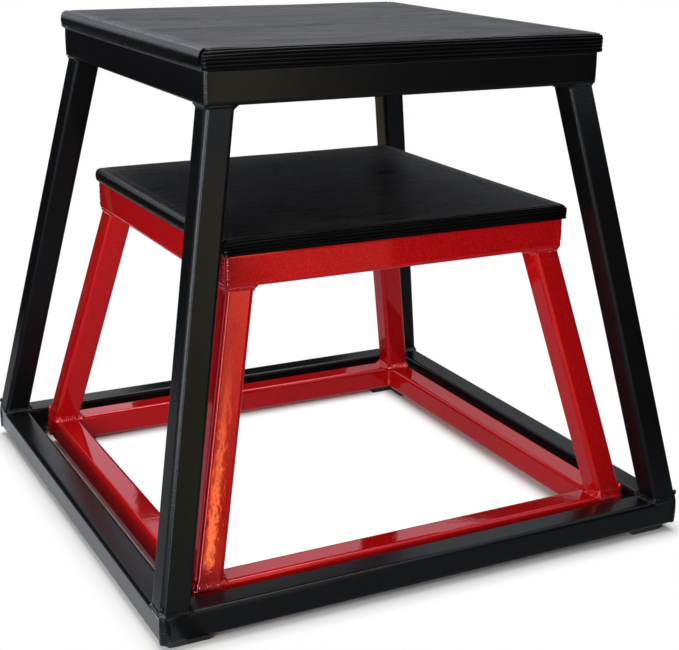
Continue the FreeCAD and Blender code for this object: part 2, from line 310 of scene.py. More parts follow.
# %% Flags, cloths and cards
RING_STEPS = 24
DARK = (0.010, 0.010, 0.012)
DIM = (0.28, 0.28, 0.30)
BROWN = (0.42, 0.32, 0.14)
PALE = (0.60, 0.60, 0.62)
BRIGHT = (10.0, 10.0, 10.0)
FLAGS = {
    "right_flag": (0.85, -95, 84, 0.50, DARK, DARK),
    "pale_flag": (0.84, 26, 60, 0.42, DARK, PALE),
    "low_back_flag": (0.85, 84, 104, 0.22, BROWN, BROWN),
    "left_flag": (0.85, 104, 178, 0.50, DARK, DARK),
    "bright_strip": (1.3, -109, -97, 1.1, BRIGHT, BRIGHT),
}
CLOTHS = {
    "middle_cloth": (-0.2125, 0.85, DIM),
    # The gap cloth is painted shade: the floor in the narrow gap between the base rings, as reflections see
    # it.
    "gap_shade_cloth": (-0.232, -0.2125, DARK),
    "left_cloth": (-0.80, -0.29, DIM),
}
CLOTH_LENGTH = 0.75
CLOTH_HEIGHT = 0.0005
CARDS = {
    "warm_card": ((-0.24, 0.05), (-0.24, 0.05), -0.78, 0.46, (0.42, 0.32, 0.10), (0.60, 0.48, 0.20)),
    "tan_card": ((0.05, 0.16), (0.05, 0.16), -0.78, 0.46, (0.06, 0.05, 0.05), (2.2, 1.6, 0.9)),
    "dim_card": ((0.16, 0.36), (0.16, 0.36), -0.78, 0.46, (0.40, 0.33, 0.23), (0.12, 0.10, 0.08)),
    "hot_card": ((0.012, 0.020), (0.109, 0.117), -0.77, 0.30, (9.5, 10.0, 3.0), (0.9, 0.85, 0.5)),
}


def glow_material(name, low, high, height):
    """Plain light that changes from one colour on the floor to another at a height."""
    material, tree = bare_material(name)
    parts = new_node(tree, "SeparateXYZ")
    link(tree, new_node(tree, "TexCoord"), "Object", parts, 0)
    rise = how_far(tree, parts, "Z", 0.0, height, "SMOOTHSTEP")
    glow = new_node(tree, "Emission")
    tree.links.new(mixed(tree, rise, 0, low, high), glow.inputs["Color"])
    link(tree, glow, 0, new_node(tree, "OutputMaterial"), 0)
    return material


def add_reflector(name, foot, head, material):
    """A surface of straight lines between two rows of points, which only reflections see."""
    steps = len(foot)
    points = np.concatenate([foot, head])
    first = np.arange(steps - 1)
    faces = np.stack([first, first + 1, first + 1 + steps, first + steps], axis=1)
    mesh = bpy.data.meshes.new(name)
    mesh.from_pydata(points, [], faces.tolist())
    mesh.materials.append(material)
    wall = bpy.data.objects.new(name, mesh)
    bpy.context.scene.collection.objects.link(wall)
    wall.visible_camera = False
    wall.visible_diffuse = False
    wall.visible_shadow = False
    wall.visible_transmission = False
    wall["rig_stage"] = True


def arc(radius, start, end, height):
    """Points on a level circle about the upright axis, between two angles in degrees."""
    turn = np.radians(np.linspace(start, end, RING_STEPS + 1))
    return np.stack([radius * np.cos(turn), radius * np.sin(turn), np.full(RING_STEPS + 1, height)], axis=1)


def row(reach, distance, height):
    """Two points that far along X, at one distance along Y and one height."""
    return np.array([(x, distance, height) for x in reach])


for name, (radius, start, end, height, low, high) in FLAGS.items():
    flag = glow_material(name, low, high, height)
    add_reflector(name, arc(radius, start, end, 0), arc(radius, start, end, height), flag)
for name, (*reach, colour) in CLOTHS.items():
    cloth = glow_material(name, colour, colour, CLOTH_LENGTH)
    near, far = (row(reach, distance, CLOTH_HEIGHT) for distance in (-CLOTH_LENGTH, CLOTH_LENGTH))
    add_reflector(name, near, far, cloth)
for name, (foot, head, distance, height, low, high) in CARDS.items():
    card = glow_material(name, low, high, height)
    add_reflector(name, row(foot, distance, 0), row(head, distance, height), card)
print("reflectors", [*FLAGS, *CLOTHS, *CARDS])

# %% [markdown]
# New pieces are patches: grids of points worked out as whole arrays. A helper lays quads between the points
# of each patch, welds patches that share an edge, and turns all faces outwards. Bmesh could build the same
# thing face by face, but the arrays keep the formulas in view.

# %% Patches to a closed mesh
WELD_DISTANCE = 2e-6
SHEET_CREASE = 50.0
WELD_CREASE = 70.0
SCREW_CREASE = 35.0


def patch_faces(rows, columns, first):
    """The corner numbers of the quads between the points of a grid, counted from a first number."""
    corner = first + np.arange((rows - 1) * columns).reshape(rows - 1, columns)[:, :-1].ravel()
    return np.stack([corner, corner + 1, corner + columns + 1, corner + columns], axis=1)


def closed_piece(name, patches, body, slot, crease):
    """One object from patches that close up: welded where they meet, facing outwards, smooth up to a crease
    angle in degrees."""
    points, faces, first = [], [], 0
    for patch in patches:
        rows, columns, _ = patch.shape
        points.append(patch.reshape(-1, 3))
        faces.append(patch_faces(rows, columns, first))
        first += rows * columns
    mesh = bpy.data.meshes.new(name)
    mesh.from_pydata(np.concatenate(points), [], np.concatenate(faces).tolist())
    work = bmesh.new()
    work.from_mesh(mesh)
    bmesh.ops.remove_doubles(work, verts=work.verts, dist=WELD_DISTANCE)
    bmesh.ops.dissolve_degenerate(work, dist=WELD_DISTANCE / 10, edges=work.edges)
    bmesh.ops.recalc_face_normals(work, faces=work.faces)
    work.to_mesh(mesh)
    work.free()
    mesh.shade_smooth()
    mesh.set_sharp_from_angle(angle=math.radians(crease))
    piece = bpy.data.objects.new(name, mesh)
    bpy.context.scene.collection.objects.link(piece)
    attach(piece, body)
    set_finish(piece, slot)
    edges = np.empty(len(mesh.loops), dtype=np.int32)
    mesh.loops.foreach_get("edge_index", edges)
    open_edges = int((np.bincount(edges) != 2).sum())
    print(name, len(mesh.polygons), "faces,", open_edges, "open edges")
    return piece


# %% [markdown]
# The tread mat is a sheet of finely ribbed rubber that wraps the deck board. Its ribs run from side to side,
# so the front and back fold along a rib and lie flat, while the sides bend across the ribs and bulge. Each
# corner of the sheet is cut away, and the bulge stops short there and shows its hollow end. A flat slab with
# a bump map would lose the rib ends and the bulge, so the grooves are real.

# %% Tread mat profile
RIB_PITCH = 2.95 * MM
RIB_SAMPLES = np.array([-0.5, -0.27, -0.15, 0.0, 0.15, 0.27])
RIB_MARGIN = 0.1
RIB_END = 2.2 * MM
RIB_END_SLOPE = 0.36
GROOVE_DEPTH = 0.9 * MM
GROOVE_WIDTH = 0.5 * MM
SWELL = 0.28 * MM
SWELL_WAVES = ((31, 12, 0.4, 1.0), (19, -23, 2.1, 0.7), (57, 0, 1.2, 0.6))
DIP = 0.5 * MM
DIP_REACH = 2.5 * MM


def groove(along):
    """How deep the sheet's face lies at a distance along it: a narrow bell-shaped groove in each pitch."""
    offset = (along / RIB_PITCH + 0.5) % 1.0 - 0.5
    return GROOVE_DEPTH * np.exp(-((offset * RIB_PITCH / GROOVE_WIDTH) ** 2))


def rib_rows(low, high):
    """Places along the sheet from low to high, crowded round each groove and spread over each rib."""
    count = np.arange(np.ceil(low / RIB_PITCH), np.floor(high / RIB_PITCH) + 1)
    rows = (count[:, None] + RIB_SAMPLES).ravel() * RIB_PITCH
    margin = RIB_MARGIN * RIB_PITCH
    inside = rows[(rows > low + margin) & (rows < high - margin)]
    return np.concatenate([[low], inside, [high]])


def swell(x, y):
    """The slight unevenness of a sheet that is glued down by hand: the mean of slow waves. Each has its
    radians per metre along X and along Y, its phase and its weight."""
    waves = sum(weight * np.sin(a * x + b * y + phase) for a, b, phase, weight in SWELL_WAVES)
    return SWELL * waves / sum(weight for *_, weight in SWELL_WAVES)


def dip(inward):
    """How far the sheet sinks at a distance in from a bulge: a bump of (1 - u^2)^2 about the reach."""
    return DIP * np.clip(1 - (inward / DIP_REACH - 1) ** 2, 0, 1) ** 2


def rib_end(inward):
    """How far a rib's face falls off at a distance in from its cut end: a straight bevel."""
    return RIB_END_SLOPE * np.clip(RIB_END - inward, 0, None)


print("rib pitch", RIB_PITCH, "m")

# %% [markdown]
# A fold is drawn as out and down against the distance travelled along it. The front and back folds are a
# rounded corner whose squareness changes along the edge, then a straight drop and a small curl at the foot.
# The side bulge is one wide arc from the top of the deck to its underside. All of them hang a hem's width
# over the rail.

# %% Folds of the mat
FOLD = 7.0 * MM
CURL = 0.6 * MM
BULGE = 7.0 * MM
BULGE_TURN = 0.86 * math.pi
BULGE_POWER = 0.8
FOLD_STEPS = 600
MIDDLING_CORNER = 2.8


def fold_path(travel, squareness, drop):
    """Out, down and the facing of a fold: a corner that is a circle at squareness 2 and a box at high
    values, a straight drop, and a quarter-round curl at the foot. Travel is 0 to 1 on the corner, to 2 on
    the drop, and to 3 on the curl."""
    turn = np.clip(travel, 0, 1) * math.pi / 2
    straight = np.clip(travel - 1, 0, 1) * (drop - FOLD - CURL)
    curl = np.clip(travel - 2, 0, 1) * math.pi / 2
    power = 2 / squareness
    out = FOLD * np.sin(turn) ** power - CURL * (1 - np.cos(curl))
    down = FOLD * (1 - np.cos(turn) ** power) + straight + CURL * np.sin(curl)
    facing = np.where(travel > 2, math.pi / 2 + curl, turn)
    return out, down, facing


def bulge_path(travel, drop):
    """Out, down and facing of a side bulge: most of a half turn, flatter than a circle, for travel 0 to 1."""
    turn = travel * BULGE_TURN
    return BULGE * np.sin(turn) ** BULGE_POWER, drop * (1 - np.cos(turn)) / 2, turn


def fold_travel(drop):
    """Steps along a fold that meet its grooves, and the distance travelled at each, on a middling corner."""
    fine = np.linspace(0, 3, FOLD_STEPS + 1)
    out, down, _ = fold_path(fine, MIDDLING_CORNER, drop)
    length = np.concatenate([[0], np.cumsum(np.hypot(np.diff(out), np.diff(down)))])
    steps = rib_rows(0.0, length[-1])
    return np.interp(steps, length, fine), steps


print("corner of a fold", FOLD, "m, bulge", BULGE, "m")

# %% [markdown]
# The sheet is five patches: the top, the two folds and the two bulges, each once as the ribbed face and once
# as the plain back, with rims between them. The top's edge points are the folds' first points, so the weld
# closes them. An attribute gives each mat its share of the grey: the short one lies under the tall box, in
# its shade, and gets less of it as painted shade.

# %% Tread mats
SHEET = 2.4 * MM
HEM = 2.2 * MM
BULGE_HEM = 1.4 * MM
TOP_COLUMNS = 22
EDGE_COLUMNS = np.array([0, 0.8, 1.5, 2.2, 2.8, 3.5, 4.2, 5.0]) * MM
BULGE_COLUMNS = 12
SQUARE_CORNER = 3.4
ROUNDER_BY = 1.6
ROUNDER_REACH = 60.0 * MM
FLAP_START = 0.5
FLAP_WIDER = 0.7
FLAP_WIDE_AT = 0.8
END_SPREAD = 4.0 * MM
END_SPREAD_AT = 0.3
END_RETREAT = 2.6 * MM
RIB_SHARE_ON_BULGE = 0.35
RIB_FADE_AT = 0.25
# The short mat's lower share of grey is painted shade under the tall box.
WEAR_AND_SHADE = {"tall": 1.0, "short": 0.3}


def tread_mat(box):
    """The ribbed sheet over one deck, from the box that its CAD solid fills."""
    low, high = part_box(f"{box}_tread_mat")
    middle = np.array([(low.x + high.x) / 2, (low.y + high.y) / 2])
    half, top, drop = (high.x - low.x) / 2, high.z, high.z - low.z + HEM
    flat_x, flat_y = half - BULGE, half - FOLD
    rows = rib_rows(-flat_y, flat_y)
    inner = flat_x - 2 * EDGE_COLUMNS[-1]
    edge = flat_x - EDGE_COLUMNS
    columns = np.concatenate([-edge, np.linspace(-inner, inner, TOP_COLUMNS), edge[::-1]])
    inward = (flat_x - np.abs(columns))[None, :]
    travel, steps = fold_travel(drop)
    bend = np.linspace(0, 1, BULGE_COLUMNS)

    def place(x, y, z):
        """Points from places about the middle of the deck. The swell fades out towards the hems."""
        x, y, z = np.broadcast_arrays(x, y, z)
        return np.stack([x + middle[0], y + middle[1], z + top + swell(x, y) * (1 + z / drop)], axis=-1)

    def top_patch(depth, share):
        """The flat top, at a depth in the sheet, with a share of the grooves."""
        x, y = columns[None, :], rows[:, None]
        return place(x, y, -depth - share * groove(y) - dip(inward))

    def fold_patch(side, depth, share):
        """The front or back fold. It widens on its way down, and its ribs are bevelled at their ends."""
        squareness = SQUARE_CORNER - ROUNDER_BY * np.exp(-(columns + flat_x) / ROUNDER_REACH)[None, :]
        out, down, facing = fold_path(travel[:, None], squareness, drop)
        flap = np.clip(travel - FLAP_START, 0, 1)[:, None]
        sunk = depth + share * (groove(flat_y + steps)[:, None] + flap * rib_end(inward))
        fading = np.clip(1 - travel, 0, 1)[:, None]
        widen = 1 + FLAP_WIDER * BULGE / flat_x * np.clip(travel / FLAP_WIDE_AT, 0, 1)[:, None]
        x = columns[None, :] * widen
        down = down + fading * dip(inward)
        return place(x, side * (flat_y + out - sunk * np.sin(facing)), -down - sunk * np.cos(facing))

    def bulge_patch(side, depth, share):
        """The bulge on the left or right. Its ends spread, then draw back, and its ribs fade."""
        out, down, facing = bulge_path(bend[None, :], drop + BULGE_HEM)
        spread = END_SPREAD * np.clip(bend / END_SPREAD_AT, 0, 1)[None, :] - END_RETREAT * np.sin(facing)
        y = rows[:, None] * (1 + spread / flat_y)
        fading = 1 - (1 - RIB_SHARE_ON_BULGE) * np.clip(bend / RIB_FADE_AT, 0, 1)[None, :]
        sunk = depth + share * fading * groove(rows)[:, None]
        return place(side * (flat_x + out - sunk * np.sin(facing)), y, -down - sunk * np.cos(facing))

    def layer(depth, share):
        """All five patches of one face of the sheet."""
        folds = [fold_patch(side, depth, share) for side in (-1, 1)]
        bulges = [np.swapaxes(bulge_patch(side, depth, share), 0, 1) for side in (-1, 1)]
        return [top_patch(depth, share), *folds, *bulges]

    faces, backs = layer(0, 1), layer(SHEET, 0)
    rims = []
    for face, back in zip(faces[1:], backs[1:]):
        rims.append(np.stack([face[-1], back[-1]]))
        rims += [np.stack([face[:, k], back[:, k]]) for k in (0, -1)]
    patches = faces + backs + rims
    mat = closed_piece(f"{box}_ribbed_mat", patches, f"{box}_box", "tread_rubber", SHEET_CREASE)
    # Each mat's share of the grey; the short mat's lower one is painted shade.
    wear_and_shade = mat.data.attributes.new("wear_and_shade", "FLOAT", "POINT")
    wear_and_shade.data.foreach_set("value", np.full(len(mat.data.vertices), WEAR_AND_SHADE[box]))
    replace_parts(mat, f"{box}_tread_mat")


for box in BOXES:
    tread_mat(box)

# %% [markdown]
# Every joint of the frames is welded, and the beads show under the paint. Where a leg stands on a ledge the
# bead is a hollow fillet, and where it is flush with the ring it is a low flat bead. Both are one section, a
# diamond with hollow sides, carried round the leg. Its size swells once for each dip of the torch and wanders
# slowly, from sines with seeded phases, so no two legs are alike.

# %% Weld sections
RIPPLE = 2.3 * MM
RIPPLE_SIZE = 0.10
RIPPLE_LAG = 0.3
BEAD_RING = 16
BEAD_STEPS = 260
BEAD_POWER = 2.4
SQUARE_POWER = 7.0
SQUARE_STEPS = 2000
WAVES = np.array([3, 5, 8, 13])
chance = np.random.default_rng(7)


def wander(share):
    """A slow wave that closes on itself: four sines with chance phases, for shares of the way round."""
    phases = chance.uniform(0, math.tau, len(WAVES))
    return np.sin(math.tau * share[:, None] * WAVES + phases).sum(axis=1) / len(WAVES)


def hollow_diamond(turn):
    """The cosine and sine of an angle, each to a power with its sign kept: a circle at 1, a diamond at 2,
    and hollow sides above."""
    return [np.sign(wave) * np.abs(wave) ** BEAD_POWER for wave in (np.cos(turn), np.sin(turn))]


def square_path(half, lean_ratio, signs):
    """Evenly spaced points round a leg's level section, the way out at each, and the distance to it. The
    section is a square with rounded corners, drawn as a superellipse, and stretched along the diagonal that
    the leg leans on."""
    angle = np.linspace(0, math.tau, SQUARE_STEPS + 1)
    shape = np.stack([np.cos(angle), np.sin(angle)], axis=1)
    shape = half * np.sign(shape) * np.abs(shape) ** (2 / SQUARE_POWER)
    diagonal = np.array(signs) / math.sqrt(2)
    shape = shape + np.outer(shape @ diagonal * (math.hypot(1, lean_ratio) - 1), diagonal)
    length = np.concatenate([[0], np.cumsum(np.linalg.norm(np.diff(shape, axis=0), axis=1))])
    even = np.linspace(0, length[-1], BEAD_STEPS + 1)
    path = np.stack([np.interp(even, length, shape[:, k]) for k in (0, 1)], axis=1)
    ahead = np.roll(path[:-1], -1, axis=0) - np.roll(path[:-1], 1, axis=0)
    ahead = np.concatenate([ahead, ahead[:1]])
    out = np.stack([ahead[:, 1], -ahead[:, 0]], axis=1)
    return path, out / np.linalg.norm(out, axis=1, keepdims=True), even


def bead(path, out, even, wide, tall, height, lumps):
    """A ring of weld metal: at each point of a closed path a hollow diamond, wide along the way out and tall
    upright, swollen by ripples whose crests lag towards the edges of the bead, and by the slow wander."""
    share = even / even[-1]
    turn = np.linspace(0, math.tau, BEAD_RING + 1)
    across, rise = hollow_diamond(turn)
    lag = RIPPLE_LAG * RIPPLE / even[-1] * np.cos(2 * turn)
    phase = math.tau * np.round(even[-1] / RIPPLE) * (share[:, None] + lag)
    size = 1 + RIPPLE_SIZE * np.sin(phase) + lumps * wander(share)[:, None]
    level = path[:, None, :] + out[:, None, :] * (wide[:, None] * size * across)[:, :, None]
    upright = height + (tall * (1 + lumps * wander(share)))[:, None] * rise
    return np.concatenate([level, upright[:, :, None]], axis=2)


print("ripple of a weld", RIPPLE, "m")

# %% [markdown]
# The beads need the middle lines of the rings that the legs join. They are read off the boxes of the rings'
# own tubes, so the welds follow the frame. Blobs of weld lie beside each bead, and one has run down the outer
# edge of each leg.

# %% Welds round the legs
PAINT = {"tall": "black", "short": "red"}
CORNERS = ((-1, -1), (1, -1), (1, 1), (-1, 1))
BLOB_TURN, BLOB_RINGS = 12, 8
BLOB_SIZES = (0.5, 1.0)
BLOB_OFFSETS = (0.6, 2.2)
BLOB_FLATNESS = 0.8
RUN_INSET = 0.6 * MM
RUN_DROP = 6.5 * MM
RUN_STRETCH = 1.7
HEAD_LEDGE = 0.75
OUTER_LOWER = 0.3
LEG_WELDS = {
    "tall": {"fillet": 4.4 * MM, "proud": 0.6 * MM, "lumps": 0.16, "count": 3, "size": 1.6 * MM},
    "short": {"fillet": 5.6 * MM, "proud": 1.6 * MM, "lumps": 0.22, "count": 9, "size": 2.0 * MM},
}


def ring_middle(box, part):
    """Half the distance between the middle lines of opposite tubes of a ring, a tube's side, the ring's own
    middle, and its lowest and highest points."""
    left_low, left_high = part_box(f"{box}_{part}_left")
    _, right_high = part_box(f"{box}_{part}_right")
    front_low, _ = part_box(f"{box}_{part}_front")
    _, back_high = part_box(f"{box}_{part}_back")
    side = left_high.x - left_low.x
    centre = np.array([(left_low.x + right_high.x) / 2, (front_low.y + back_high.y) / 2])
    return (right_high.x - left_low.x - side) / 2, side, centre, left_low.z, left_high.z


def blob(place, radii):
    """A closed ball with three radii, from its angle round and its angle down from the top."""
    turn = np.linspace(0, math.tau, BLOB_TURN + 1)[None, :]
    down = np.linspace(0, math.pi, BLOB_RINGS + 1)[:, None]
    x, y = np.sin(down) * np.cos(turn), np.sin(down) * np.sin(turn)
    ball = np.stack([x, y, np.cos(down) + 0 * turn], axis=2)
    return np.array(place) + np.array(radii) * ball


def leg_blobs(path, signs, height, way, count, size):
    """Blobs at chance places round a leg, just off the bead, and a longer one on the outer edge."""
    spots = path[chance.integers(0, BEAD_STEPS, count)]
    sizes = size * chance.uniform(*BLOB_SIZES, count)
    offsets = way * size * chance.uniform(*BLOB_OFFSETS, count)
    balls = []
    for spot, radius, up in zip(spots, sizes, offsets):
        balls.append(blob((*spot, height + up), (radius, radius, BLOB_FLATNESS * radius)))
    outermost = path[np.argmax(path @ np.array(signs))] - RUN_INSET * np.array(signs)
    balls.append(blob((*outermost, height + way * RUN_DROP), (size, size, RUN_STRETCH * size)))
    return balls


def leg_welds(box, fillet, proud, lumps, count, size):
    """The beads at both ends of a box's legs. A weight runs from 0 on the inner faces, which have a ledge as
    wide as the fillet, to 1 on the outer ones, which are flush at the foot and have the top ring's narrow
    ledge above."""
    foot_reach, tube, centre, _, base_high = ring_middle(box, "base_tube")
    head_reach, rail, _, rail_low, _ = ring_middle(box, "top_rail")
    lean = math.sqrt(2) * (foot_reach - head_reach) / (rail_low - base_high)
    ledge = HEAD_LEDGE * (rail - tube) / 2
    ends = ((foot_reach, proud, base_high, 1), (head_reach, ledge, rail_low, -1))
    patches = []
    for signs in CORNERS:
        section, out, even = square_path(tube / 2, lean, signs)
        outer = np.clip(out @ np.array(signs) / 2 + 0.5, 0, 1)
        tall = fillet * (1 - OUTER_LOWER * outer)
        for reach, narrow, height, way in ends:
            wide = fillet + (narrow - fillet) * outer
            path = section + centre + reach * np.array(signs)
            patches.append(bead(path, out, even, wide, tall, height, lumps))
            patches += leg_blobs(path, signs, height, way, count, size)
    closed_piece(f"{box}_leg_welds", patches, f"{box}_box", f"{PAINT[box]}_paint", WELD_CREASE)


for box, values in LEG_WELDS.items():
    leg_welds(box, **values)

# %% [markdown]
# The corners of the rings are welded down the outside and ground: nearly flush on the top rings, and left as
# a proud round strip on the base rings. The short box's keep their lumps. A fillet of weld stays in the inner
# corners. Each is a closed profile carried up the corner, which fades to a point at its ends.

# %% Corner seams of the rings
SEAM_STEPS = 44
SEAM_RING = 20
SEAM_TAPER = 0.25
SEAM_WANDER = 2.0
SEAM_SUNK = 0.2 * MM
SEAM_FOOT = 1.0 * MM
RING_SEAMS = {
    "base_tube": {"ground": 2.0 * MM, "wide": 6.0 * MM, "bow": 1.0, "proud": 1.5 * MM},
    "top_rail": {"ground": 4.0 * MM, "wide": 4.4 * MM, "bow": 0.72, "proud": 0.7 * MM},
}
INNER_SEAM = {"wide": 3.2 * MM, "proud": 2.6 * MM, "lumps": 0.25, "bow": 0.0}


def seam(place, signs, low, high, wide, proud, lumps, bow):
    """A closed lens-shaped strip up a corner: wide along the faces, proud along the outward diagonal, bowed
    round the corner, and swollen by lumps. It shrinks to a point at both ends, as a root of a sine."""
    rise = np.linspace(0, 1, SEAM_STEPS + 1)
    turn = np.linspace(0, math.tau, SEAM_RING + 1)
    taper = np.sin(math.pi * rise) ** SEAM_TAPER
    ripples = np.sin(math.tau * rise * (high - low) / RIPPLE + SEAM_WANDER * wander(rise))
    swollen = 1 + lumps * ripples + lumps * wander(rise)
    diagonal = np.array(signs) / math.sqrt(2)
    along = np.array([-diagonal[1], diagonal[0]])
    across = wide * taper[:, None] * np.cos(turn)
    depth = proud * (taper * swollen)[:, None] * np.sin(turn) - bow * across ** 2 / wide
    level = place + across[:, :, None] * along + depth[:, :, None] * diagonal
    height = np.broadcast_to((low + (high - low) * rise)[:, None, None], level.shape[:2] + (1,))
    return np.concatenate([level, height], axis=2)


def ring_seams(box, share, lumps):
    """The seams on the outer and inner corners of both rings of a box, as a share of their usual height."""
    patches = []
    for part, sizes in RING_SEAMS.items():
        reach, side, centre, low, high = ring_middle(box, part)
        foot, wide, bow, proud = low + SEAM_FOOT, sizes["wide"], sizes["bow"], share * sizes["proud"]
        ground_away = (1 - math.sqrt(0.5)) * sizes["ground"]
        for signs in np.array(CORNERS):
            outer = centre + (reach + side / 2 - ground_away - SEAM_SUNK) * signs
            patches.append(seam(outer, signs, foot, high, wide, proud, lumps, bow))
            inner = centre + (reach - side / 2 + 2 * SEAM_SUNK) * signs
            patches.append(seam(inner, -signs, foot, high, **INNER_SEAM))
    closed_piece(f"{box}_ring_seams", patches, f"{box}_box", f"{PAINT[box]}_paint", WELD_CREASE)


ring_seams("tall", share=1.0, lumps=0.10)
ring_seams("short", share=1.5, lumps=0.35)

# %% [markdown]
# The screws inside the top rings and in the feet are pan heads with a hexagon socket. A screw is a profile
# turned about its own line, and in the socket the circle gives way to a hexagon, so it is one surface of
# height and angle. Each ring of the head's profile has its radius as a share of the head's width, 1 for a
# hexagon or 0 for a circle, and its distance below the seat as a share of the head's height.

# %% Screws
SCREW_TURN = 36
HEXAGON_STEP = math.pi / 3
HEXAGON_FLAT = 0.87
HEAD_PROFILE = (
    (0.0, 1, 0.35), (0.30, 1, 0.35), (0.30, 1, 0.97), (0.375, 0, 1.0),
    (0.36, 0, 0.96), (0.46, 0, 0.72), (0.5, 0, 0.4), (0.5, 0, 0.0),
)
DECK_SCREW = {"shank": 5.0 * MM, "head": 10.0 * MM, "head_height": 3.2 * MM}
FOOT_SCREW = {"shank": 4.0 * MM, "head": 8.0 * MM, "head_height": 2.4 * MM}
DECK_SCREW_SPREAD = 92.0 * MM
FOOT_SCREW_STEP = 22.5 * MM


def screw(place, shank, head, head_height, length):
    """A screw with its head down: rings of points, each a radius, a share of hexagon and a height. The
    hexagon's radius is its flat distance over the cosine of the angle from the middle of the nearest flat."""
    rings = [(share * head, hexagonal, -below * head_height) for share, hexagonal, below in HEAD_PROFILE]
    rings += [(shank / 2, 0, 0.0), (shank / 2, 0, length - shank / 2), (0.0, 0, length)]
    rings = np.array(rings)
    angle = np.linspace(0, math.tau, SCREW_TURN + 1)
    hexagon = HEXAGON_FLAT / np.cos((angle + HEXAGON_STEP / 2) % HEXAGON_STEP - HEXAGON_STEP / 2)
    radius = rings[:, :1] * (1 + rings[:, 1:2] * (hexagon - 1))
    height = np.broadcast_to(rings[:, 2:], radius.shape)
    return np.stack([radius * np.cos(angle), radius * np.sin(angle), height], axis=2) + np.array(place)


def ring_of_screws(node, body, sizes, beside):
    """Eight screws in the places of a node's eight solids. Two stand on each side of a square, whose half is
    the node's box less half a head, at a distance to both sides of the middle that comes from that half."""
    low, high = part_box(node)
    middle = np.array([(low.x + high.x) / 2, (low.y + high.y) / 2])
    half = (high.x - low.x - sizes["head"]) / 2
    step = beside(half)
    seat = low.z + sizes["head_height"]
    spots = [(a * half, b * step) for a in (-1, 1) for b in (-1, 1)]
    spots += [(b * step, a * half) for a in (-1, 1) for b in (-1, 1)]
    patches = [screw((*(middle + spot), seat), length=high.z - seat, **sizes) for spot in spots]
    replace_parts(closed_piece(f"{node}_turned", patches, body, "screw_steel", SCREW_CREASE), node)


for box in BOXES:
    ring_of_screws(f"{box}_deck_screws", f"{box}_box", DECK_SCREW, lambda half: DECK_SCREW_SPREAD)
    ring_of_screws(f"{box}_foot_screws", f"{box}_box", FOOT_SCREW, lambda half: half - FOOT_SCREW_STEP)

# %% [markdown]
# Effects that several finishes share are node groups. The first is the skin of a baked coat or a moulding: a
# fine ripple for bump, and slow cloudy patches for roughness. A bump image would do it too, but a noise on
# Object coordinates keeps one scale on every piece.

# %% Shared effect: coat skin
def effect_group(name, inputs, outputs):
    """An empty group with named number inputs and outputs, with its two end nodes."""
    group = bpy.data.node_groups.new(name, "ShaderNodeTree")
    for label, value in inputs.items():
        socket = group.interface.new_socket(label, in_out="INPUT", socket_type="NodeSocketFloat")
        socket.default_value = value
    for label in outputs:
        group.interface.new_socket(label, in_out="OUTPUT", socket_type="NodeSocketFloat")
    return group, group.nodes.new("NodeGroupInput"), group.nodes.new("NodeGroupOutput")


def noise_node(tree, detail, roughness=0.5):
    """A noise texture on Object coordinates."""
    noise = new_node(tree, "TexNoise", detail=detail, roughness=roughness)
    link(tree, new_node(tree, "TexCoord"), "Object", noise, "Vector")
    return noise


def make_coat_skin():
    """Height is a fine noise, and Patches a slow one, both from 0 to 1."""
    scales = {"Ripple Scale": 500.0, "Patch Scale": 14.0}
    group, start, end = effect_group("coat_skin", scales, ("Height", "Patches"))
    fine = noise_node(group, detail=1.0)
    slow = noise_node(group, detail=3.0, roughness=0.6)
    link(group, start, "Ripple Scale", fine, "Scale")
    link(group, start, "Patch Scale", slow, "Scale")
    link(group, fine, 0, end, "Height")
    link(group, slow, 0, end, "Patches")
    return group


COAT_SKIN = make_coat_skin()
print("group", COAT_SKIN.name)

# %% [markdown]
# The second effect is streaks: marks drawn out along one way, such as the drag of shoes along the ribs of a
# tread or the grain of a veneer. It is a noise on coordinates squeezed along one axis.

# %% Shared effect: streaks
STREAK_DETAIL = 4.0
STREAK_FROM, STREAK_TO = 0.35, 0.7


def make_streaks():
    """Mask is a sharpened noise whose marks are Stretch times as long in X as they are wide."""
    group, start, end = effect_group("streaks", {"Scale": 60.0, "Stretch": 12.0}, ("Mask",))
    parts = new_node(group, "SeparateXYZ")
    joined = new_node(group, "CombineXYZ")
    noise = new_node(group, "TexNoise", detail=STREAK_DETAIL)
    link(group, new_node(group, "TexCoord"), "Object", parts, 0)
    squeeze = math_node(group, "DIVIDE", (parts, "X"), (start, "Stretch"))
    link(group, squeeze, 0, joined, "X")
    link(group, parts, "Y", joined, "Y")
    link(group, parts, "Z", joined, "Z")
    link(group, joined, 0, noise, "Vector")
    link(group, start, "Scale", noise, "Scale")
    link(group, how_far(group, noise, 0, STREAK_FROM, STREAK_TO), 0, end, "Mask")
    return group


STREAKS = make_streaks()
print("group", STREAKS.name)

# %% [markdown]
# The third effect is a chip: a spot where knocks have bared the pale primer, ragged at its edge. It is the
# distance from a place, broken up by a noise.

# %% Shared effect: chips
RAG_SCALE = 700.0
CHIP_RIM, CHIP_BARE = 1.25, 1.05


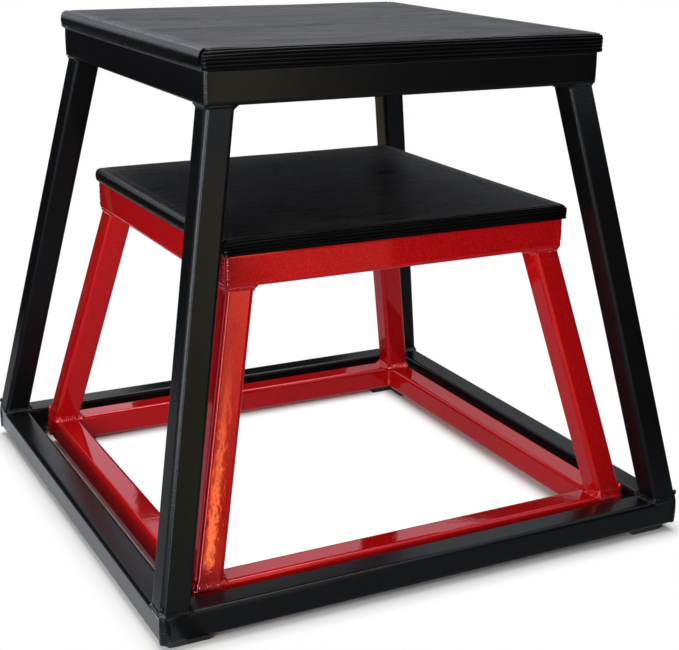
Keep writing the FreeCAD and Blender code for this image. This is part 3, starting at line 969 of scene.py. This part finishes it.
def make_chip():
    """Mask is one within a ragged distance of the place X, Y, Z. The rag is a noise as deep as the reach."""
    group, start, end = effect_group("chip", {"X": 0.0, "Y": 0.0, "Z": 0.0, "Reach": 0.004}, ("Mask",))
    place = new_node(group, "CombineXYZ")
    away = new_node(group, "VectorMath")
    away.operation = "DISTANCE"
    for axis in ("X", "Y", "Z"):
        link(group, start, axis, place, axis)
    link(group, new_node(group, "TexCoord"), "Object", away, 0)
    link(group, place, 0, away, 1)
    noise = noise_node(group, detail=2.0)
    noise.inputs["Scale"].default_value = RAG_SCALE
    share = math_node(group, "DIVIDE", (away, "Value"), (start, "Reach"))
    ragged = math_node(group, "ADD", (share, 0), (noise, 0))
    link(group, how_far(group, ragged, 0, CHIP_RIM, CHIP_BARE), 0, end, "Mask")
    return group


CHIP = make_chip()
print("group", CHIP.name)

# %% [markdown]
# Each finish is one Principled shader. The first helper makes it and sets what is the same all over, and the
# node chains that follow add only what changes over the surface.

# %% Shader helpers
def new_finish(name, **sockets):
    """A material with one Principled shader whose named sockets hold plain values. A colour is red, green
    and blue."""
    material = bpy.data.materials.new(name)
    material.use_nodes = True
    shader = material.node_tree.nodes["Principled BSDF"]
    for socket, value in sockets.items():
        label = socket.replace("_", " ").title().replace("Ior", "IOR")
        shader.inputs[label].default_value = (*value, 1.0) if isinstance(value, tuple) else value
    return material, material.node_tree, shader


def placed(tree, group, **values):
    """A group's node in a material, with its own values."""
    node = new_node(tree, "Group")
    node.node_tree = group
    for label, value in values.items():
        node.inputs[label.replace("_", " ").title()].default_value = value
    return node


def bumped(tree, shader, source, output, depth):
    """Bump on the shader's normal, from a height between 0 and 1 that is worth a depth in metres."""
    bump = new_node(tree, "Bump", distance=depth)
    link(tree, source, output, bump, "Height")
    link(tree, bump, 0, shader, "Normal")


def facing_parts(tree):
    """A node with the X, Y and Z parts of the way that the surface faces."""
    parts = new_node(tree, "SeparateXYZ")
    link(tree, new_node(tree, "NewGeometry"), "Normal", parts, 0)
    return parts


FINISHES = {}

# %% [markdown]
# The frames are powder coated. The coat melts into a smooth skin with a fine ripple. The black is satin. The
# red is a clear gloss over metal flake, so it is partly metallic, and its ripple is coarser; the flakes are
# painted a lighter red as their sparkle, a painted glint. Each chip has its place and its reach.

# %% Paints
COOL = (0.82, 0.92, 1.0)
ROSE = (1.0, 0.84, 1.0)
BLACKS = ((0.0030, 0.0031, 0.0035), (0.0046, 0.0047, 0.0050))
DEEP_RED = (0.52, 0.0030, 0.0044)
# Metal flakes, painted lighter as their sparkle: a painted glint.
FLAKE_SPARKLE_RED = (0.68, 0.036, 0.040)
FLAKES_FROM, FLAKES_TO = 0.55, 0.80
PRIMER = (0.12, 0.12, 0.115)
CHIPS = (
    (-0.2255, -0.2275, 0.150, 0.0035),
    (-0.2245, -0.2265, 0.159, 0.0028),
    (-0.2525, -0.2525, 0.033, 0.0042),
)


def chipped(tree, colour):
    """A colour that gives way to the primer at each chip."""
    for x, y, z, reach in CHIPS:
        spot = placed(tree, CHIP, x=x, y=y, z=z, reach=reach)
        colour = mixed(tree, spot, "Mask", colour, PRIMER)
    return colour


def black_paint():
    """Nearly black, with patches of roughness and a shallow ripple, chipped on a corner and an edge."""
    material, tree, shader = new_finish("black_powder_coat", specular_ior_level=0.22, specular_tint=COOL)
    skin = placed(tree, COAT_SKIN, ripple_scale=620.0, patch_scale=16.0)
    colour = chipped(tree, mixed(tree, skin, "Patches", *BLACKS))
    tree.links.new(colour, shader.inputs["Base Color"])
    link(tree, ranged(tree, skin, "Patches", low=0.17, high=0.28), 0, shader, "Roughness")
    bumped(tree, shader, skin, "Height", depth=0.12 * MM)
    return material


def red_paint():
    """A deep red, partly metallic, with metal flakes painted a lighter red as a painted glint, patches of
    roughness and a coarser ripple.
    """
    sheen = {"coat_weight": 0.35, "coat_roughness": 0.05, "specular_tint": ROSE}
    material, tree, shader = new_finish("red_flake_coat", metallic=0.25, specular_ior_level=0.25, **sheen)
    skin = placed(tree, COAT_SKIN, ripple_scale=220.0, patch_scale=20.0)
    # The flakes' lighter red is a painted glint.
    flake_sparkle = placed(tree, COAT_SKIN, ripple_scale=1100.0)
    shown = how_far(tree, flake_sparkle, "Height", FLAKES_FROM, FLAKES_TO)
    tree.links.new(mixed(tree, shown, 0, DEEP_RED, FLAKE_SPARKLE_RED), shader.inputs["Base Color"])
    link(tree, ranged(tree, skin, "Patches", low=0.03, high=0.07), 0, shader, "Roughness")
    bumped(tree, shader, skin, "Height", depth=0.04 * MM)
    return material


FINISHES["black_paint"] = black_paint()
FINISHES["red_paint"] = red_paint()
print("paints", list(FINISHES))

# %% [markdown]
# The tread is soft black rubber, painted grey in streaks along the ribs where it faces up: partly the wear
# of shoes that drag along them, and partly painted sheen. The feet are harder and matt, with the grain of a
# mould.

# %% Rubbers
TREAD_BLACK = (0.0014, 0.0014, 0.0016)
TREAD_CLEAN = (0.0020, 0.0020, 0.0030)
# Grey of up-facing rubber: partly wear, partly painted sheen.
TREAD_WEAR_AND_SHEEN = (0.1000, 0.1000, 0.1060)
FOOT_BLACKS = ((0.006, 0.006, 0.006), (0.012, 0.012, 0.012))
FACING_UP = 0.6


def tread_rubber():
    """Black rubber, painted grey where it faces up, in fine streaks along the ribs and in wide smears: partly
    wear and partly painted sheen, scaled by its mat's share, which is lower on the short mat as painted
    shade. It is rougher where it is grey, and shiny where it is stretched over the sides, which is where it
    faces along X."""
    material, tree, shader = new_finish("tread_rubber", specular_ior_level=0.035, coat_roughness=0.22)
    drag = placed(tree, STREAKS, scale=150.0, stretch=9.0)
    smear = placed(tree, STREAKS, scale=32.0, stretch=2.5)
    worn = ranged(tree, smear, "Mask", low=0.12, high=0.62)
    fine = ranged(tree, drag, "Mask", low=0.0, high=1.0)
    link(tree, worn, 0, fine, "To Min")
    grey = mixed(tree, fine, 0, TREAD_CLEAN, TREAD_WEAR_AND_SHEEN)
    # The mat's share of the grey, lower on the short mat as painted shade.
    wear_and_shade = new_node(tree, "Attribute")
    wear_and_shade.attribute_name = "wear_and_shade"
    parts = facing_parts(tree)
    upward = how_far(tree, parts, "Z", FACING_UP, 1.0)
    link(tree, wear_and_shade, "Fac", upward, "To Max")
    # Grey only where the rubber faces up: wear, and painted sheen.
    tree.links.new(mixed(tree, upward, 0, TREAD_BLACK, grey), shader.inputs["Base Color"])
    link(tree, ranged(tree, drag, "Mask", low=0.24, high=0.42), 0, shader, "Roughness")
    skin = placed(tree, COAT_SKIN, ripple_scale=1600.0, patch_scale=30.0)
    bumped(tree, shader, skin, "Height", depth=0.08 * MM)
    link(tree, math_node(tree, "ABSOLUTE", (parts, "X")), 0, shader, "Coat Weight")
    return material


def foot_rubber():
    """Matt black with a moulded grain."""
    material, tree, shader = new_finish("foot_rubber", specular_ior_level=0.35)
    skin = placed(tree, COAT_SKIN, ripple_scale=1400.0, patch_scale=40.0)
    tree.links.new(mixed(tree, skin, "Patches", *FOOT_BLACKS), shader.inputs["Base Color"])
    link(tree, ranged(tree, skin, "Patches", low=0.6, high=0.75), 0, shader, "Roughness")
    bumped(tree, shader, skin, "Height", depth=0.2 * MM)
    return material


FINISHES["tread_rubber"] = tread_rubber()
FINISHES["foot_rubber"] = foot_rubber()
print("rubbers made")

# %% [markdown]
# The deck board is seen from below only, as dark brown plywood: the short tread mirrors the tall deck's
# underside, and it is dark there. Its edges and top are black. The screws are zinc plated, with a slightly
# uneven bright skin.

# %% Plywood and zinc
VENEERS = ((0.030, 0.020, 0.013), (0.075, 0.050, 0.032))
# Black for the board's edges and top.
BOARD_BLACK = (0.005, 0.005, 0.005)
FACING_DOWN = -0.9
ZINC = (0.60, 0.60, 0.62)


def plywood():
    """Dark brown veneer with streaked grain where the face looks down, and black everywhere else."""
    material, tree, shader = new_finish("plywood", roughness=0.6, specular_ior_level=0.3)
    grain = placed(tree, STREAKS, scale=90.0, stretch=14.0)
    veneer = mixed(tree, grain, "Mask", *VENEERS)
    down = math_node(tree, "LESS_THAN", (facing_parts(tree), "Z"), second=FACING_DOWN)
    tree.links.new(mixed(tree, down, 0, BOARD_BLACK, veneer), shader.inputs["Base Color"])
    bumped(tree, shader, grain, "Mask", depth=0.2 * MM)
    return material


def screw_steel():
    """Bright zinc with cloudy roughness."""
    material, tree, shader = new_finish("zinc_plate", metallic=1.0, base_color=ZINC)
    skin = placed(tree, COAT_SKIN, ripple_scale=900.0, patch_scale=220.0)
    link(tree, ranged(tree, skin, "Patches", low=0.25, high=0.5), 0, shader, "Roughness")
    bumped(tree, shader, skin, "Height", depth=0.05 * MM)
    return material


FINISHES["plywood"] = plywood()
FINISHES["screw_steel"] = screw_steel()
print("finishes", list(FINISHES))

# %% [markdown]
# Every CAD node takes the finish of the slot that the record gives it, and every new piece the finish of its
# own slot.

# %% Dress the pieces
def dress():
    """Puts each slot's finish on the nodes and pieces that use it."""
    slots = {part["node"]: part["material_slot"] for part in frame["record"]["subparts"]}
    for node, piece in frame["nodes"].items():
        piece.data.materials.clear()
        piece.data.materials.append(FINISHES[slots[node]])
    new_pieces = [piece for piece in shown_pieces() if piece.name not in frame["nodes"]]
    for piece in new_pieces:
        piece.data.materials.append(FINISHES[piece["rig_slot"]])
    print(len(frame["nodes"]), "nodes and", len(new_pieces), "new pieces dressed")


dress()
